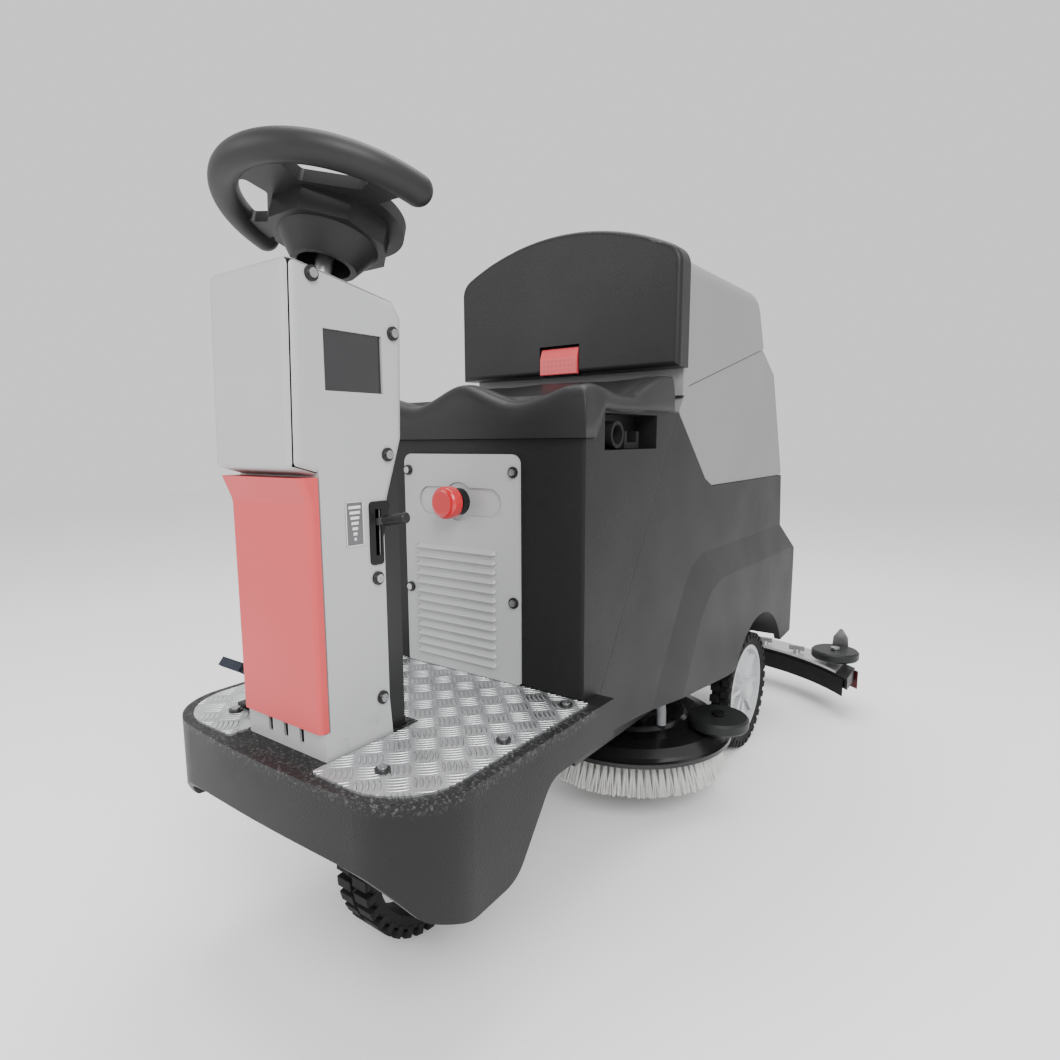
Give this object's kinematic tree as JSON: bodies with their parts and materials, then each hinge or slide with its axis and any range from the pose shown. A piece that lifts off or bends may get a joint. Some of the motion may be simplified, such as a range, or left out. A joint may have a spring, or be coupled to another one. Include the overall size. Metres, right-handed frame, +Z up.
{
  "type": "ride on scrubber",
  "caption": "Compact ride-on floor scrubber with steered front drive wheel, disc brush deck, curved squeegee, tank with tilting lid and lift-up seat",
  "frame": {"origin": "middle of the footprint on the floor, on the machine's centre plane", "axes": "+X to the machine's left, +Y from the steering wheel towards the squeegee, +Z up"},
  "size_m": [0.732, 1.642, 1.058],
  "materials": {
    "frame_paint": "satin black powder coat",
    "body_black": "rotomoulded, fine grain",
    "hose_black": "matt ribbed hose",
    "battery_case": "moulded case",
    "tread_aluminium": "five-bar tread plate",
    "screw_set": "socket screws in black cup washers",
    "housing_grey": "smooth light grey paint",
    "panel_red": "smooth coral red paint",
    "window_black": "glossy dark window",
    "plate_black": "black plate",
    "steel": "turned steel",
    "knob_black": "smooth black knob",
    "wheel_grey": "dark grey, fine grain",
    "tyre_rubber": "solid rubber tyre",
    "hub_cast": "cast hub motor",
    "rim_grey": "light grey moulding",
    "deck_black": "satin black deck",
    "roller_grey": "hard roller",
    "motor_paint": "black motor housing",
    "disc_black": "brush block",
    "bristle_grey": "nylon bristles",
    "hose_grey": "grey corrugated hose",
    "beam_aluminium": "cast and machined",
    "carrier_black": "black moulding",
    "blade_black": "front blade",
    "blade_maroon": "rear blade",
    "collar_black": "black collar",
    "button_red": "red mushroom head",
    "seat_grey": "grained dark grey shell",
    "tank_grey": "rotomoulded grey tank",
    "cover_grey": "dark grey cover",
    "latch_red": "red latch",
    "turbine_black": "black turbine housing",
    "pedal_black": "moulded pedal"
  },
  "bodies": {
    "root": {"chassis_frame": "frame_paint", "body_shell": "body_black", "drain_hose_end": "hose_black", "batteries": "battery_case", "tread_plate": "tread_aluminium", "tread_plate_screws": "screw_set", "column_frame": "frame_paint", "column_housing": "housing_grey", "column_screws": "screw_set", "kick_panel": "panel_red", "display_window": "window_black", "lever_plate": "plate_black", "steering_bearing": "steel", "turntable_bearing": "steel", "steering_chain": "steel", "front_panel": "housing_grey", "front_panel_screws": "screw_set", "stop_button_collar": "collar_black", "rear_axle": "steel", "pedal_base": "pedal_black", "recovery_tank": "tank_grey", "vacuum_motor": "turbine_black"},
    "steering_wheel": {"steering_wheel_top": "wheel_grey", "steering_wheel_bottom": "wheel_grey", "steering_shaft": "steel"},
    "lower_shaft": {"lower_steering_shaft": "steel", "column_sprocket": "steel"},
    "fork": {"steering_fork": "frame_paint", "fork_sprocket": "steel"},
    "drive_wheel": {"drive_tyre": "tyre_rubber", "drive_hub_motor": "hub_cast"},
    "rear_wheel_left": {"rear_tyre_left": "tyre_rubber", "rear_rim_left": "rim_grey"},
    "rear_wheel_right": {"rear_tyre_right": "tyre_rubber", "rear_rim_right": "rim_grey"},
    "button": {"stop_button": "button_red"},
    "lever": {"water_lever": "steel", "water_lever_knob": "knob_black"},
    "pedal": {"foot_pedal": "pedal_black"},
    "seat": {"seat": "seat_grey"},
    "lid": {"tank_lid": "tank_grey", "lid_front_cover": "cover_grey"},
    "latch": {"lid_latch": "latch_red"},
    "deck_arm": {"deck_lift_arm": "frame_paint"},
    "deck": {"brush_deck": "deck_black", "brush_motor": "motor_paint", "solution_hose": "hose_grey"},
    "brush": {"brush_disc": "disc_black", "brush_bristles": "bristle_grey"},
    "deck_roller": {"deck_roller": "roller_grey"},
    "squeegee_arm": {"squeegee_arm": "frame_paint"},
    "squeegee_yoke": {"squeegee_yoke": "frame_paint", "vacuum_hose": "hose_black"},
    "squeegee": {"squeegee_beam": "beam_aluminium", "squeegee_carrier": "carrier_black", "squeegee_blade_front": "blade_black", "squeegee_blade_rear": "blade_maroon", "squeegee_fittings": "steel"},
    "squeegee_roller_left": {"squeegee_roller_left": "roller_grey"},
    "squeegee_roller_right": {"squeegee_roller_right": "roller_grey"}
  },
  "joints": [
    {"name": "steering_turn", "type": "hinge", "parent": "root", "child": "steering_wheel", "pos_m": [0, -0.674, 0.97], "axis": [0, 0.2924, 0.9563], "range_deg": [-150, 150]},
    {"name": "lower_shaft_turn", "type": "hinge", "parent": "root", "child": "lower_shaft", "pos_m": [0, -0.72224, 0.6], "axis": [0, 0, 1], "range_deg": [-150, 150]},
    {"name": "fork_turn", "type": "hinge", "parent": "root", "child": "fork", "pos_m": [0, -0.559, 0.29], "axis": [0, 0, 1], "range_deg": [-75, 75]},
    {"name": "drive_wheel_roll", "type": "hinge", "parent": "fork", "child": "drive_wheel", "pos_m": [0, -0.559, 0.133], "axis": [1, 0, 0], "continuous": true},
    {"name": "rear_wheel_left_roll", "type": "hinge", "parent": "root", "child": "rear_wheel_left", "pos_m": [0.177, 0.319, 0.133], "axis": [1, 0, 0], "continuous": true},
    {"name": "rear_wheel_right_roll", "type": "hinge", "parent": "root", "child": "rear_wheel_right", "pos_m": [-0.177, 0.319, 0.133], "axis": [1, 0, 0], "continuous": true},
    {"name": "stop_press", "type": "slide", "parent": "root", "child": "button", "axis": [0, 1, 0], "range_m": [0, 0.006], "stiffness_N_per_m": 600, "springref_m": -0.004},
    {"name": "water_lever_turn", "type": "hinge", "parent": "root", "child": "lever", "pos_m": [0.01, -0.6905, 0.606], "axis": [0, 1, 0], "range_deg": [-7, 27]},
    {"name": "pedal_press", "type": "hinge", "parent": "root", "child": "pedal", "pos_m": [-0.132, -0.711, 0.372], "axis": [1, 0, 0], "range_deg": [0, 16], "stiffness_Nm_per_rad": 3, "springref_deg": -14.32},
    {"name": "seat_tilt", "type": "hinge", "parent": "root", "child": "seat", "pos_m": [0, -0.461, 0.711], "axis": [1, 0, 0], "range_deg": [0, 75]},
    {"name": "lid_open", "type": "hinge", "parent": "root", "child": "lid", "pos_m": [0, 0.271, 0.892], "axis": [-1, 0, 0], "range_deg": [0, 70]},
    {"name": "latch_pull", "type": "hinge", "parent": "lid", "child": "latch", "pos_m": [0, -0.175, 0.861], "axis": [-1, 0, 0], "range_deg": [0, 22], "stiffness_Nm_per_rad": 0.15, "springref_deg": -8.59},
    {"name": "deck_lift", "type": "hinge", "parent": "root", "child": "deck_arm", "pos_m": [0.055, -0.231, 0.203], "axis": [-1, 0, 0], "range_deg": [0, 20.39]},
    {"name": "deck_level", "type": "hinge", "parent": "deck_arm", "child": "deck", "pos_m": [0.055, -0.05169, 0.18731], "axis": [-1, 0, 0], "range_deg": [-20.39, 0]},
    {"name": "brush_spin", "type": "hinge", "parent": "deck", "child": "brush", "pos_m": [0.055, 0.003, 0.13], "axis": [0, 0, 1], "continuous": true},
    {"name": "deck_roller_turn", "type": "hinge", "parent": "deck", "child": "deck_roller", "pos_m": [0.234, 0.023, 0.169], "axis": [0, 0, 1], "continuous": true},
    {"name": "squeegee_lift", "type": "hinge", "parent": "root", "child": "squeegee_arm", "pos_m": [0, 0.549, 0.214], "axis": [-1, 0, 0], "range_deg": [0, 24.78]},
    {"name": "squeegee_level", "type": "hinge", "parent": "squeegee_arm", "child": "squeegee_yoke", "pos_m": [0, 0.70425, 0.17529], "axis": [-1, 0, 0], "range_deg": [-24.78, 0]},
    {"name": "squeegee_swing", "type": "hinge", "parent": "squeegee_yoke", "child": "squeegee", "pos_m": [0, 0.774, 0.116], "axis": [0, 0, 1], "range_deg": [-15, 15]},
    {"name": "squeegee_roller_left_turn", "type": "hinge", "parent": "squeegee", "child": "squeegee_roller_left", "pos_m": [0.309, 0.679, 0.147], "axis": [0, 0, 1], "continuous": true},
    {"name": "squeegee_roller_right_turn", "type": "hinge", "parent": "squeegee", "child": "squeegee_roller_right", "pos_m": [-0.309, 0.679, 0.147], "axis": [0, 0, 1], "continuous": true}
  ],
  "couplings": [
    {"joint": "lower_shaft_turn", "follows": "steering_turn", "ratio": 1},
    {"joint": "fork_turn", "follows": "steering_turn", "ratio": 0.5},
    {"joint": "deck_level", "follows": "deck_lift", "ratio": -1},
    {"joint": "squeegee_level", "follows": "squeegee_lift", "ratio": -1}
  ]
}
